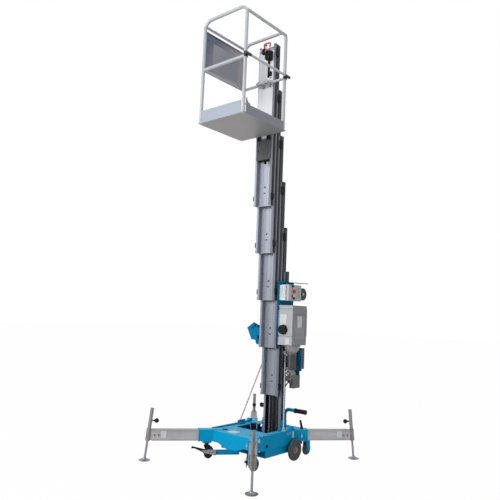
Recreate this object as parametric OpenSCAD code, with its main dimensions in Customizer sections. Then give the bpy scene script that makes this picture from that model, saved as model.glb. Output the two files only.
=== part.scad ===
// Push-around aerial work platform: one-person deck on a nested mast, drawn raised, legs on the ground.
// Millimetres, Z up, ground at z = 0, origin midway between the four foot pads.
// The machine faces -Y, so its left side is -X and its right side is +X.

/* [Mast] */
// Width of every mast column
column_w = 232; // [210:1:240]
// Length of every mast column
column_h = 1840; // [1700:10:1860]
// Depth of the channel in a column's front
channel_d = 48; // [40:1:50]
// Thickness of a column's web
web_t = 12; // [8:1:14]
// Thickness of the lips that hold the next column
lip_t = 6; // [4:1:8]
// Gap between sliding faces of two columns
slide_clear = 0.5; // [0.3:0.1:0.8]
// How far each stage is raised above its lowest place
rest_lift = 514; // [420:2:560]
// Length of the carriage that carries the deck
carriage_h = 1247; // [1150:1:1260]

/* [Base] */
// Height of the base deck
deck_z = 304; // [300:1:308]
// Half width over the base side plates
side_x = 310; // [304:1:314]
// Half length of the main part of the base
deck_y = 355; // [345:1:360]
// Thickness of the base plates
plate_t = 6; // [4:1:8]
// Diameter of the push handle tube
handle_d = 38; // [30:1:42]

/* [Outriggers] */
// Distance from the mast centre to a leg at beam height
leg_reach = 1082; // [1060:2:1120]
// Width of an outrigger beam
beam_w = 74; // [60:1:76]
// Height of an outrigger beam
beam_h = 106; // [90:1:108]
// Gap between a beam and its socket
beam_clear = 0.5; // [0.4:0.1:1]
// Diameter of the leg's outer tube
leg_tube_d = 36; // [34:1:40]
// Diameter of the leg's rod
leg_rod_d = 22; // [18:1:24]
// Diameter of a foot pad
foot_d = 115; // [100:1:130]
// Diameter of a leg's ball knob
knob_d = 46; // [36:1:50]

/* [Wheels] */
// Diameter of the two side wheels
side_wheel_d = 214; // [196:1:216]
// Diameter of the four small wheels
caster_d = 125; // [115:1:128]
// Width of a wheel
wheel_w = 32; // [24:1:34]
// How far the wheels hang clear of the ground
wheel_gap = 10; // [6:1:14]

/* [Platform] */
// Width of the deck
floor_w = 628; // [600:2:660]
// Depth of the deck
floor_d = 692; // [660:2:720]
// Height of the top rail above the floor
rail_h = 1135; // [1100:5:1150]
// Diameter of the guard rail tube
rail_d = 35; // [30:1:36]
// Height of the front toe board
toe_h = 132; // [110:2:140]

/* [Controls] */
// Height of the ground control box
box_h = 175; // [150:1:190]
// Height of the battery charger housing
charger_h = 423; // [360:1:430]
// Diameter of the charger's round knob
charger_knob_d = 106; // [90:2:110]

/* [Hidden] */
$fn = 48;
blue = [0.02, 0.50, 0.72];
dark_blue = [0.02, 0.30, 0.45];
alloy = [0.66, 0.68, 0.72];
pale = [0.80, 0.83, 0.88];
steel = [0.70, 0.70, 0.70];
black = [0.06, 0.06, 0.07];
grey = [0.28, 0.28, 0.29];
red = [0.75, 0.08, 0.06];

pitch = channel_d + web_t + slide_clear;
neck_w = column_w - 56;
mouth_w = column_w - 52;
inner_w = column_w - 28;
flange_w = column_w - 34;
mast_y = 300;
stow_z = 115;
base_z = 140;
base_h = column_h;
column_d = pitch + channel_d - slide_clear;
function col_y(k) = mast_y - pitch * (k - 1);
function col_z(k) = k == 1 ? base_z : stow_z + rest_lift * (k - 1);
carriage_y = col_y(6) - slide_clear;
carriage_z = stow_z + 6 * rest_lift;
floor_z = carriage_z + 260;
floor_t = 10;
rail_z = floor_z + floor_t + rail_h - rail_d / 2 - 1;
mid_z = floor_z + 590;
deck_back = -32.4;
deck_front = deck_back - floor_d;
post_x = floor_w / 2 - 20;
post_f = deck_front + 20;
post_r = deck_back - 20;
rail_r = rail_d / 2;

diag = atan2(772, 636);
splay = atan2(50, 514);
beam_z = 199;
socket_t = 5;
socket_in = 330;
socket_out = 577;
beam_in = 337;
sock_w = beam_w + 2 * (beam_clear + socket_t);
sock_h = beam_h + 2 * (beam_clear + socket_t);
beam_mid = beam_z + beam_h / 2;
corners = [[-1, -1], [1, -1], [-1, 1], [1, 1]];
function corner_a(c) = atan2(c[1] * sin(diag), c[0] * cos(diag));
run_clear = 0.3;
side_wheel_x = 350;
side_wheel_y = 258;
side_wheel_z = wheel_gap + 2 + side_wheel_d / 2;
caster_z = wheel_gap + caster_d / 2;
caster_x = 305;
caster_y = -345;
swivel_y = -380;
rear_wheel_x = 300;
rear_wheel_y = 545;
rear_y = 480;
keel_z = 93;
well_x = 208;

// Helpers

// Box given by its low and high corners
module block(a, b) {
  translate(a) cube(b - a);
}

// Round bar between two points
module bar(p, q, d) {
  v = q - p;
  len = norm(v);
  translate(p)
    rotate([0, acos(v[2] / len), atan2(v[1], v[0])])
      cylinder(h = len, d = d);
}

// Disc or bore along X, Y
module cyl_x(d, x0, x1, y, z) {
  translate([x0, y, z]) rotate([0, 90, 0]) cylinder(h = x1 - x0, d = d);
}
module cyl_y(d, y0, y1, x, z) {
  translate([x, y0, z]) rotate([-90, 0, 0]) cylinder(h = y1 - y0, d = d);
}

// Quarter bend of round tube: leaves along +X at [0, 0] and turns to +Y
module bend(r, d, a) {
  rotate_extrude(angle = a) translate([r, 0]) circle(d = d);
}

// Rounded rectangle, made of squares and circles so that its sides stay exact
module round_rect(w, h, r) {
  square([w - 2 * r, h], center = true);
  square([w, h - 2 * r], center = true);
  for (sx = [-1, 1]) for (sy = [-1, 1])
    translate([sx * (w / 2 - r), sy * (h / 2 - r)]) circle(r = r);
}

// Corner frame: local X runs outward along the outrigger
module at_corner(c) {
  rotate([0, 0, corner_a(c)]) children();
}

// Moves the control group out with the side of the column
module beside_column() {
  translate([column_w / 2 - 116, 0, 0]) children();
}

// Mirror to the machine's left or right side
module side(s) {
  if (s > 0) children();
  else mirror([1, 0, 0]) children();
}

// Mast

// Cross section of a column: front channel with lips, web, hollow T spine at the back
module column_section() {
  spine_y = pitch + lip_t + slide_clear;
  difference() {
    union() {
      translate([-column_w / 2, 0]) square([column_w, channel_d + web_t]);
      translate([-neck_w / 2, channel_d]) square([neck_w, spine_y - channel_d + 4]);
      translate([-flange_w / 2, spine_y]) square([flange_w, column_d - spine_y]);
    }
    translate([-inner_w / 2, lip_t]) square([inner_w, channel_d - lip_t]);
    translate([-mouth_w / 2, -1]) square([mouth_w, lip_t + 2]);
    translate([-neck_w / 2 + 8, channel_d + web_t + 4])
      square([neck_w - 16, column_d - channel_d - web_t - 10]);
    for (s = [-1, 1]) {
      translate([s * (column_w / 2) - 5, 16]) square([10, 5]);
      translate([s * (column_w / 2) - 4, 27]) square([8, 12]);
      translate([s * (column_w / 2) - 5, 45]) square([10, 5]);
      translate([s * 30 - 2, channel_d - 1]) square([4, 3]);
      translate([s * 72 - 8, channel_d - 1]) square([16, 3]);
    }
  }
}

// One column in its raised place, with the service hole and slot near its foot
module mast_column(k) {
  translate([0, col_y(k), col_z(k)]) difference() {
    linear_extrude(height = column_h) column_section();
    cyl_y(22, channel_d - 2, channel_d + web_t + 6, -4, 213);
    block([-22, channel_d - 2, 143], [10, channel_d + web_t + 6, 154]);
    for (z = [40, 90]) for (s = [-1, 1])
      cyl_y(7, channel_d - 2, channel_d + web_t + 6, s * 50, z);
  }
}

// Black plastic parts of a moving column: end cap, guide roller, wear pads and foot bumper
module column_caps(k) {
  translate([0, col_y(k), col_z(k)]) {
    spine_y = pitch + lip_t + slide_clear;
    difference() {
      translate([-flange_w / 2, spine_y, column_h]) cube([flange_w, column_d - spine_y, 9]);
      cyl_x(6, -flange_w / 2 + 8, flange_w / 2 - 8, spine_y + 20, column_h + 9);
    }
    block([-60, channel_d, -9], [60, channel_d + web_t, 0]);
    block([column_w / 2, 9, column_h - 120], [column_w / 2 + 8, 51, column_h - 82]);
    for (z = [-120, -82]) {
      cyl_x(42, column_w / 2, column_w / 2 + 8, 30, column_h + z);
      cyl_x(16, column_w / 2 + 8, column_w / 2 + 11, 30, column_h + z);
    }
    block([column_w / 2, 8, 84], [column_w / 2 + 9, 54, 134]);
    cyl_x(46, column_w / 2, column_w / 2 + 9, 31, 84);
    cyl_x(14, column_w / 2 + 9, column_w / 2 + 12, 31, 84);
    block([-column_w / 2 - 18, 7, 76], [-column_w / 2, 39, 106]);
    for (z = [76, 106]) cyl_x(32, -column_w / 2 - 18, -column_w / 2, 23, z);
    cyl_x(28, -column_w / 2 - 12, -column_w / 2, 22, 16);
    block([-column_w / 2 - 9, 8, column_h - 120], [-column_w / 2, 50, column_h - 84]);
  }
}

// Base

// Base column with the holes of its mast bolts, lugs for the control plate and end caps
module base_column() {
  spine_y = pitch + lip_t + slide_clear;
  color(alloy) translate([0, col_y(1), base_z]) difference() {
    union() {
      linear_extrude(height = base_h) column_section();
      block([-flange_w / 2, spine_y, base_h - 1], [flange_w / 2, column_d, base_h + 9]);
      for (s = [-1, 1])
        block([s * (column_w / 2 - 7) - 7, 0, base_h - 1], [s * (column_w / 2 - 7) + 7, channel_d, base_h + 5]);
      for (z = [1080, 1620]) block([column_w / 2 - 1, 51, z], [column_w / 2 + 15, channel_d + web_t, z + 50]);
    }
    for (z = [60, 150]) for (s = [-1, 1])
      cyl_x(13, s * (column_w / 2 - 7) - 8, s * (column_w / 2 - 7) + 8, 33, z);
  }
}

// Base

// Square tube that guides an outrigger beam, with a flared lip and a boss for its pin
module socket_outer() {
  block([socket_in, -sock_w / 2, beam_mid - sock_h / 2], [socket_out, sock_w / 2, beam_mid + sock_h / 2]);
  block([socket_out - 8, -sock_w / 2 - 3, beam_mid - sock_h / 2 - 3],
        [socket_out, sock_w / 2 + 3, beam_mid + sock_h / 2 + 3]);
  cyl_y(26, -sock_w / 2 - 10, -sock_w / 2 + 1, 505, beam_mid);
}

module socket_inner() {
  c = beam_clear;
  block([socket_in - 60, -beam_w / 2 - c, beam_z - c], [socket_out + 1, beam_w / 2 + c, beam_z + beam_h + c]);
  cyl_y(12 + 2 * run_clear, -sock_w / 2 - 11, -beam_w / 2, 505, beam_mid);
}

module front_plate() {
  translate([0, -deck_y + plate_t, 0]) rotate([90, 0, 0]) linear_extrude(height = plate_t)
    polygon([[-237, 190], [-175, 190], [-55, 150], [55, 150], [175, 190], [237, 190],
             [237, deck_z], [-237, deck_z]]);
}

// Plan of the deck sheet
module deck_plan() {
  polygon([[-237, -deck_y], [237, -deck_y], [side_x, -311], [side_x, 311], [252, 392], [252, rear_y],
           [-252, rear_y], [-252, 392], [-side_x, 311], [-side_x, -311]]);
}

module base_frame() {
  color(blue) difference() {
    union() {
      translate([0, 0, deck_z - plate_t]) linear_extrude(height = plate_t) difference() {
        deck_plan();
        polygon([[-well_x, -40], [well_x, -40], [well_x, 176], [150, 236], [150, 425],
                 [-150, 425], [-150, 236], [-well_x, 176]]);
        translate([0, 438]) circle(d = 64);
      }
      front_plate();
      for (s = [-1, 1]) side(s) {
        block([side_x - plate_t, -311, 172], [side_x, 311, deck_z + 14]);
        block([side_x - 20, -290, deck_z + 8], [side_x, 60, deck_z + 14]);
        block([246, 330, 140], [252, rear_y, deck_z]);
        // wheel axle stub and its washer plate
        block([side_x - plate_t, 206, 78], [side_x, 311, 180]);
        cyl_x(60, side_x - 1, side_x + 10, side_wheel_y, side_wheel_z);
        cyl_x(34, side_x, side_wheel_x - wheel_w / 2 + 2 - run_clear, side_wheel_y, side_wheel_z);
        cyl_x(20, side_x, side_wheel_x + wheel_w / 2 + 6, side_wheel_y, side_wheel_z);
        // brace rod foot bracket
        block([side_x - 52, 60, deck_z + 8], [side_x, 190, deck_z + 14]);
        block([side_x - 36, 60, deck_z + 14], [side_x - 30, 190, deck_z + 44]);
        // fork for the fixed rear wheel
        block([rear_wheel_x - 26, rear_y - 60, 184], [rear_wheel_x + 26, rear_wheel_y + 34, 192]);
        block([246, rear_y - 60, 150], [rear_wheel_x + 26, rear_y - 54, 192]);
        for (w = [-1, 1]) {
          x0 = rear_wheel_x + w * (wheel_w / 2 + 6);
          block([x0 - 3, rear_wheel_y - 30, 60], [x0 + 3, rear_wheel_y + 34, 186]);
          cyl_x(34, x0 - 3, x0 + 3, rear_wheel_y, caster_z + 5);
        }
        cyl_x(12, rear_wheel_x - 26, rear_wheel_x + 26, rear_wheel_y, caster_z + 5);
      }
      block([-252, rear_y - 6, keel_z + 5], [252, rear_y, deck_z]);
      for (c = corners) at_corner(c) {
        socket_outer();
        if (c[1] < 0) {
          r0 = cos(diag) * caster_x - sin(diag) * swivel_y;
          block([r0 - 45, -36, 176], [r0 + 45, 36, beam_mid - sock_h / 2 + 1]);
        }
      }
      // humps over the rear wheels' side brackets
      for (s = [-1, 1]) side(s) {
        cyl_x(56, side_x - 44, side_x - 4, 268, deck_z + 18);
        block([side_x - 44, 240, deck_z - 2], [side_x - 4, 296, deck_z + 18]);
      }
    }
    for (c = corners) at_corner(c) socket_inner();
    // clears the rear left pin when it is pulled
    cyl_x(34, -253, -245, 440, beam_mid);
    for (s = [-1, 1]) side(s) {
      // square pocket in the side plate
      block([side_x - 7, -182, 196], [side_x + 1, -142, 226]);
      cyl_x(8, side_x - 7, side_x + 1, -262, 190);
      cyl_x(8, side_x - 7, side_x + 1, -120, 268);
      // bore for the caster's stem
      translate([caster_x, swivel_y, 170]) cylinder(h = 40, d = 16 + 2 * run_clear);
    }
  }
}

// Tray under the base that holds the mast's foot and the arms of the foot brakes
module base_keel() {
  color(blue) difference() {
    union() {
      block([-side_x + 14, -165, keel_z], [side_x - 14, 420, keel_z + 5]);
      block([-252, 414, keel_z], [252, rear_y, keel_z + 5]);
      block([-side_x + 14, -60, keel_z], [side_x - 14, -54, deck_z - plate_t]);
      block([-side_x + 14, -165, 172], [side_x - 14, -54, 178]);
      for (s = [-1, 1]) side(s) {
        block([side_x - 20, -165, keel_z], [side_x - 14, 420, 176]);
        block([side_x - 20, -165, 172], [side_x - plate_t, 311, 178]);
        block([252, 414, keel_z], [side_x - 14, 420, 150]);
        block([246, 414, keel_z], [252, rear_y - 6, 140]);
        // mast foot cheek plates
        block([column_w / 2, 298, keel_z + 5], [column_w / 2 + 10, 408, 372]);
        block([column_w / 2 + 10, 350, keel_z + 5], [246, 358, 190]);
        block([246, 350, keel_z + 5], [side_x - 20, 358, 140]);
        // diagonal arm that carries the foot brake
        rotate([0, 0, -diag]) {
          block([150, -52, 64], [478, -40, 112]);
          block([150, -60, 64], [430, -40, 70]);
          block([150, -60, 106], [430, -40, 112]);
        }
      }
    }
    for (s = [-1, 1]) side(s)
      rotate([0, 0, -diag]) cyl_y(10 + 2 * run_clear, -62, -38, 462, 88);
  }
}

// Braces from the base to the sides of the base column
module brace_rods() {
  color(steel) for (s = [-1, 1]) side(s) {
    p = [side_x - 16, 125, deck_z + 40];
    q = [column_w / 2 + 16, 337, 1078];
    bar(p, q, 14);
    translate(p) sphere(d = 26);
    translate(q) sphere(d = 26);
    block([side_x - 30, 107, deck_z + 14], [side_x - 2, 143, deck_z + 32]);
    block([column_w / 2, 320, 1086], [column_w / 2 + 32, 354, 1116]);
  }
}

// Plates bolted to the sides of the base column
module mast_brackets() {
  color(dark_blue) {
    translate([116 - column_w / 2, 0, 0]) {
      translate([0, 330, 0]) rotate([90, 0, 0]) linear_extrude(height = 6)
        polygon([[-418, 1344], [-320, 1410], [-250, 1380], [-124, 1380], [-124, 1176], [-240, 1161],
                 [-276, 1161], [-290, 1208], [-350, 1212]]);
      block([-124, 318, 1150], [-116, 352, 1400]);
      for (z = [1200, 1350]) cyl_y(16, 317, 330, -270 + (z - 1200) * 0.1, z);
    }
    beside_column() translate([131, 0, 0]) rotate([90, 0, 90]) linear_extrude(height = 5)
      polygon([[172, 1287], [188, 1180], [454, 1180], [454, 1868], [190, 1868], [160, 1840]]);
    beside_column() {
      block([131, 190, 1862], [165, 454, 1868]);
      bar([160, 440, 1865], [160, 700, 1872], 9);
    }
  }
}

// Ground control box with its sockets for the stop button and key
module control_box() {
  box_z = 1660;
  color(grey) beside_column() difference() {
    union() {
      block([136, 215, box_z], [241, 449, box_z + box_h]);
      block([241, 225, box_z + 8], [246, 439, box_z + box_h - 8]);
      // label place stepped out of the front
      block([136, 192, box_z + 6], [212, 216, box_z + box_h - 8]);
      block([140, 189, box_z + 14], [206, 193, box_z + box_h - 16]);
      cyl_x(34, 241, 252, 300, box_z + 104);
      block([246, 270, box_z + 76], [248, 330, box_z + 132]);
      cyl_x(26, 241, 256, 275, box_z + 51);
      for (z = [60, 100, 140]) cyl_x(14, 246, 254, 405, box_z + z);
      // horn behind the box
      block([150, 448, box_z + 60], [190, 540, box_z + 106]);
      cyl_x(138, 188, 204, 540, box_z + 83);
      cyl_x(34, 203, 210, 540, box_z + 83);
    }
    cyl_x(16 + 2 * run_clear, 234, 260, 300, box_z + 104);
    cyl_x(10 + 2 * run_clear, 238, 260, 275, box_z + 51);
    block([240, 345, box_z + 30], [247, 388, box_z + 140]);
    difference() {
      cyl_x(124, 201, 206, 540, box_z + 83);
      cyl_x(44, 200, 207, 540, box_z + 83);
    }
  }
}

module emergency_stop() {
  color(red) beside_column() {
    cyl_x(16, 239, 256, 300, 1764);
    translate([256, 300, 1764]) rotate([0, 90, 0]) {
      cylinder(h = 7, d1 = 38, d2 = 40);
      translate([0, 0, 7]) cylinder(h = 6, d1 = 40, d2 = 28);
    }
  }
}

module mode_key() {
  color(steel) beside_column() {
    cyl_x(10, 239, 259, 275, 1711);
    block([259, 272.5, 1701], [278, 277.5, 1721]);
  }
}

// Battery charger housing
module charger_box() {
  z0 = 1187;
  color(grey) beside_column() difference() {
    union() {
      block([136, 190, z0], [320, 454, z0 + charger_h]);
      block([136, 187, z0 + 96], [323, 457, z0 + 390]);
    }
    block([320, 232, z0 + 112], [324, 438, z0 + 376]);
    block([317, 262, z0 + 190], [324, 400, z0 + 352]);
    cyl_y(20 + 2 * run_clear, 186, 206, 208, 1350);
    block([150, 186, z0 + 200], [250, 189, z0 + 330]);
  }
}

module charger_knob() {
  color(black) beside_column() {
    cyl_y(20, 176, 205, 208, 1350);
    difference() {
      translate([208, 156, 1350]) rotate([-90, 0, 0]) cylinder(h = 26, d1 = charger_knob_d - 8, d2 = charger_knob_d);
      for (a = [0 : 30 : 330])
        translate([208 + cos(a) * charger_knob_d / 2, 150, 1350 + sin(a) * charger_knob_d / 2])
          rotate([-90, 0, 0]) cylinder(h = 40, d = 10);
    }
  }
}

// Hydraulic power unit: round tank over the motor, pump, valve block and hoses
module power_unit() {
  cx = column_w / 2 + 97;
  cy = 345;
  color(steel) {
    translate([cx, cy, 1090]) rotate_extrude() polygon([[0, 0], [30, 0], [50, 10], [64, 27], [76, 46],
      [84, 66], [88, 84], [88, 88], [0, 88]]);
    translate([cx, cy, 1172]) cylinder(h = 8, d = 186);
    block([cx - 60, cy - 60, 1179], [cx + 60, cy + 60, 1187]);
  }
  color(grey) {
    translate([cx, cy, 934]) cylinder(h = 160, d = 104);
    translate([cx, cy, 922]) cylinder(h = 14, d = 112);
    translate([cx, cy, 1052]) cylinder(h = 10, d = 110);
    translate([cx, cy, 900]) cylinder(h = 24, d = 70);
    block([column_w / 2, 350, 960], [cx - 43, 360, 1060]);
    block([column_w / 2, 350, 790], [cx - 33, 360, 850]);
  }
  color(grey) beside_column() {
    block([178, 312, 861], [248, 378, 902]);
    block([204, 330, 726], [256, 450, 862]);
    block([176, 330, 780], [206, 376, 862]);
    cyl_y(24, 290, 314, 214, 882);
    cyl_y(18, 300, 331, 230, 820);
    cyl_y(18, 300, 331, 230, 780);
    block([150, 455, 925], [262, 515, 1150]);
    block([190, 396, 940], [236, 442, 960]);
  }
  color(blue) beside_column() {
    translate([0, 442, 0]) rotate([90, 0, 0]) linear_extrude(height = 6)
      polygon([[233, 1130], [265, 1130], [282, 1010], [282, 905], [178, 905], [178, 950], [215, 1000]]);
    block([178, 436, 861], [256, 442, 906]);
    block([200, 441, 960], [250, 456, 1060]);
  }
  color(black) beside_column() for (hose = [[190, 60], [166, 20]]) {
    translate([hose[0], 300, 880]) cylinder(h = hose[1], d = 13);
    translate([hose[0], 300, 880]) sphere(d = 14);
    bar([hose[0], 300, 880], [hose[0] + 18, 320, 872], 13);
  }
}

// Lift cylinder behind the base column
module lift_cylinder() {
  y = mast_y + column_d + 30;
  color(steel) {
    translate([0, y, keel_z + 5]) cylinder(h = 1400, d = 56);
    translate([0, y, keel_z + 1405]) cylinder(h = 20, d = 58);
    translate([0, y, keel_z + 1425]) cylinder(h = 120, d = 32);
    block([-45, mast_y + column_d, 1620], [45, y + 26, 1660]);
    translate([0, y, 1600]) cylinder(h = 24, d = 32);
    block([-40, mast_y + column_d, 900], [40, y, 940]);
  }
}

// Push handle: two bent tubes from the rear of the base, joined by a cross bar
module push_handle() {
  hz = 465;
  hy = rear_y + handle_d / 2 + 1;
  r = 60;
  color(blue) {
    for (s = [-1, 1]) side(s) {
      translate([32, hy, 176]) cylinder(h = hz - r - 176, d = handle_d);
      translate([32 + r, hy, hz - r]) rotate([90, 0, 180]) rotate([0, 0, 0])
        bend(r, handle_d, 90);
      cyl_x(handle_d, 32 + r, 306, hy, hz);
      cyl_x(handle_d + 12, 160, 172, hy, hz);
      block([2, rear_y, 196], [64, rear_y + 8, 226]);
      block([2, rear_y, 266], [64, rear_y + 8, 296]);
    }
    block([-32, hy - 6, 330], [32, hy + 6, 356]);
  }
}

module handle_grips() {
  hy = rear_y + handle_d / 2 + 1;
  color(black) for (s = [-1, 1]) side(s) difference() {
    union() {
      cyl_x(handle_d + 10, 172, 308, hy, 465);
      cyl_x(handle_d + 16, 172, 180, hy, 465);
      cyl_x(handle_d + 14, 300, 312, hy, 465);
    }
    cyl_x(handle_d, 160, 306, hy, 465);
  }
}

// Locking lever on top of the right rear socket
module socket_lever() {
  color(black) at_corner([1, 1]) {
    translate([520, 0, beam_mid + sock_h / 2 + run_clear]) cylinder(h = 16, d = 34);
    translate([520, -7, 0]) rotate([90, 0, 0]) translate([0, 0, -14]) linear_extrude(height = 14)
      polygon([[-12, 326], [12, 326], [-6, 398], [-18, 402], [-26, 396]]);
  }
}

// Platform

// Carriage: T spine that runs in the last column, with the plate that the deck hangs on
module carriage_section() {
  y0 = carriage_y;
  spine_y = col_y(6) + lip_t + slide_clear;
  end_y = col_y(6) + channel_d - slide_clear;
  difference() {
    union() {
      translate([-101, y0 - 5]) square([202, 5]);
      translate([-neck_w / 2, y0 - 1]) square([neck_w, spine_y - y0 + 2]);
      translate([-flange_w / 2, spine_y]) square([flange_w, end_y - spine_y]);
    }
    translate([-neck_w / 2 + 8, spine_y]) square([neck_w - 16, end_y - spine_y - 6]);
  }
}

module carriage() {
  color(alloy) difference() {
    translate([0, 0, carriage_z]) linear_extrude(height = carriage_h) carriage_section();
    for (z = [174, 248, 277]) cyl_y(9, carriage_y - 6, carriage_y + 12, -37, carriage_z + z);
    for (z = [174, 248, 277]) cyl_y(9, carriage_y - 6, carriage_y + 12, 37, carriage_z + z);
    block([-80, carriage_y - 6, carriage_z + 90], [-70, carriage_y + 12, carriage_z + 130]);
  }
}

module carriage_fittings() {
  y0 = carriage_y - 5;
  color(black) {
    block([-86, carriage_y - 4, carriage_z - 10], [86, carriage_y + 40, carriage_z]);
    for (s = [-1, 1]) side(s) {
      block([40, deck_back, floor_z + 14], [96, y0, floor_z + 22]);
      block([40, y0 - 6, floor_z - 40], [96, y0, floor_z + 14]);
      block([40, y0 - 6, floor_z + 22], [96, y0, floor_z + 130]);
      for (z = [-22, 50, 110]) cyl_y(14, y0 - 12, y0 - 6, 68, floor_z + z);
    }
    cyl_y(12, y0 - 5, y0, 0, carriage_z + 65);
    cyl_y(12, y0 - 8, y0, 66, carriage_z + 930);
    block([52, y0 - 20, carriage_z + 950], [78, y0, carriage_z + 1000]);
  }
  color(blue) block([20, y0 - 8, carriage_z - 52], [32, y0 + 20, carriage_z - 10]);
}

// Deck: closed floor, toe boards and corner gussets
module platform_floor() {
  x1 = floor_w / 2;
  t = 4;
  p = rail_r + 1;
  color(pale) {
    difference() {
      block([-x1, deck_front, floor_z], [x1, deck_back, floor_z + floor_t]);
      for (x = [-post_x, post_x]) for (y = [post_f, post_r])
        translate([x, y, floor_z - 1]) cylinder(h = floor_t + 2, d = rail_d);
    }
    block([-post_x + p, deck_front, floor_z + floor_t], [post_x - p, deck_front + t, floor_z + toe_h]);
    for (s = [-1, 1]) side(s) {
      block([x1 - t, post_f + p, floor_z + floor_t], [x1, post_r - p, floor_z + 98]);
      block([x1 - t - 12, post_f + p, floor_z + 92], [x1, post_r - p, floor_z + 98]);
      // gusset beside the front post, with a hollow curve on its upper side
      translate([x1 - t, 0, floor_z + 98]) rotate([90, 0, 90]) linear_extrude(height = t) difference() {
        translate([post_f + p, 0]) square([60, 62]);
        translate([post_f + p + 62, 64]) circle(r = 50);
      }
    }
    block([-post_x + p, deck_back - t, floor_z + floor_t], [-110, deck_back, floor_z + 98]);
    block([110, deck_back - t, floor_z + floor_t], [post_x - p, deck_back, floor_z + 98]);
    block([-110, deck_back - t, floor_z + floor_t], [110, deck_back, floor_z + 30]);
    for (y = [-560, -380, -200]) cyl_x(10, -x1 - 2, -x1 + 1, y, floor_z + 60);
  }
}

// U frame of one end: two posts and a top rail with bent corners
module end_frame(y) {
  r = 85;
  for (s = [-1, 1]) side(s) {
    translate([post_x, y, floor_z]) cylinder(h = rail_z - r - floor_z, d = rail_d);
    translate([post_x - r, y, rail_z - r]) rotate([90, 0, 0]) bend(r, rail_d, 90);
  }
  cyl_x(rail_d, -post_x + r, post_x - r, y, rail_z);
}

module guard_rails() {
  bx = 94;
  by = post_r - 46;
  color(pale) {
    end_frame(post_f);
    end_frame(post_r);
    for (s = [-1, 1]) side(s)
      translate([post_x, post_f, rail_z - 48]) rotate([-90, 0, 0]) cylinder(h = post_r - post_f, d = rail_d - 3);
    cyl_x(rail_d, -post_x, post_x, post_f, mid_z);
    translate([-post_x, post_f, mid_z]) rotate([-90, 0, 0]) cylinder(h = post_r - post_f, d = rail_d - 8);
    // rear middle rail, cranked into the deck behind the mast
    cyl_x(rail_d - 5, -post_x, -bx, post_r, mid_z);
    cyl_x(rail_d - 5, bx + 46, post_x, post_r, mid_z);
    bar([-bx, post_r, mid_z], [-bx + 40, by, mid_z], rail_d - 5);
    bar([bx + 46, post_r, mid_z], [bx + 6, by, mid_z], rail_d - 5);
    cyl_x(rail_d - 5, -bx + 40, bx + 6, by, mid_z);
    for (p = [[-bx, post_r], [bx + 46, post_r], [-bx + 40, by], [bx + 6, by]])
      translate([p[0], p[1], mid_z]) sphere(d = rail_d - 4);
  }
}

// U bolts and blocks that hold the rear middle rail to the carriage
module rail_clamps() {
  by = post_r - 46;
  rr = (rail_d - 5) / 2;
  color(steel) for (x = [-30, 60]) {
    block([x - 16, by + rr, mid_z - 26], [x + 16, carriage_y - 5, mid_z + 26]);
    difference() {
      translate([x - 5, 0, 0]) rotate([90, 0, 90]) linear_extrude(height = 10) difference() {
        union() {
          translate([by, mid_z]) circle(d = rail_d + 5);
          translate([by, mid_z - rail_r - 2.5]) square([rr, rail_d + 5]);
        }
        translate([by, mid_z]) circle(d = rail_d - 5);
        translate([by, mid_z - rr]) square([rail_d, rail_d - 5]);
      }
    }
  }
}

// Sheet that closes the left side between the middle and top rails
module side_panel() {
  x = -post_x;
  color(alloy) {
    block([x - 2, post_f + rail_r, mid_z + rail_r - 4], [x + 1, post_r - rail_r, rail_z - 96]);
    block([x + 1, post_f + rail_r, rail_z - 108], [x + 7, post_r - rail_r, rail_z - 96]);
    for (y = [post_f + 40, post_r - 40]) cyl_x(12, x + 1, x + 4, y, mid_z + 60);
  }
}

// Deck control station on top of the carriage
module platform_controls() {
  y0 = carriage_y - 5;
  color(black) difference() {
    union() {
      block([24, y0 - 70, 4330], [84, y0, 4425]);
      block([24, y0 - 10, 4140], [48, y0, 4330]);
      block([-52, y0 - 42, 4425], [84, y0, 4432]);
      cyl_y(22, y0 - 80, y0 - 70, 52, 4400);
    }
    cyl_y(8 + 2 * run_clear, y0 - 90, y0 - 40, 52, 4400);
  }
  color(grey) translate([-34, y0 - 24, 4432]) cylinder(h = 52, d = 26);
}

module control_lever() {
  y0 = carriage_y - 5;
  color(red) {
    cyl_y(8, y0 - 92, y0 - 42, 52, 4400);
    bar([52, y0 - 88, 4400], [52, y0 - 88, 4470], 9);
    translate([52, y0 - 88, 4478]) sphere(d = 26);
  }
}

// Sliding entry bar on the right side, with black shoes that run on the posts
module entry_rail() {
  z = mid_z + 12;
  bx = post_x + rail_r + 16;
  color(pale) cyl_y(26, post_f + 24, post_r - 24, bx, z);
  color(black) for (y = [post_f, post_r]) difference() {
    union() {
      translate([post_x, y, z - 26]) cylinder(h = 52, d = rail_d + 18);
      cyl_y(32, y - 34, y + 40, bx, z);
    }
    translate([post_x, y, z - 30]) cylinder(h = 60, d = rail_d + 2 * run_clear);
    block([post_x - 60, y - 60, z - 30], [post_x - 1, y + 60, z + 30]);
    cyl_y(26, post_f + 24, post_r - 24, bx, z);
  }
}

// Outriggers

// Axis of a leg in its corner frame, seen at height z
function leg_r(z) = leg_reach + (255 - z) * tan(splay);

module leg_axis() {
  translate([leg_r(0), 0, 0]) rotate([0, -splay, 0]) children();
}

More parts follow.
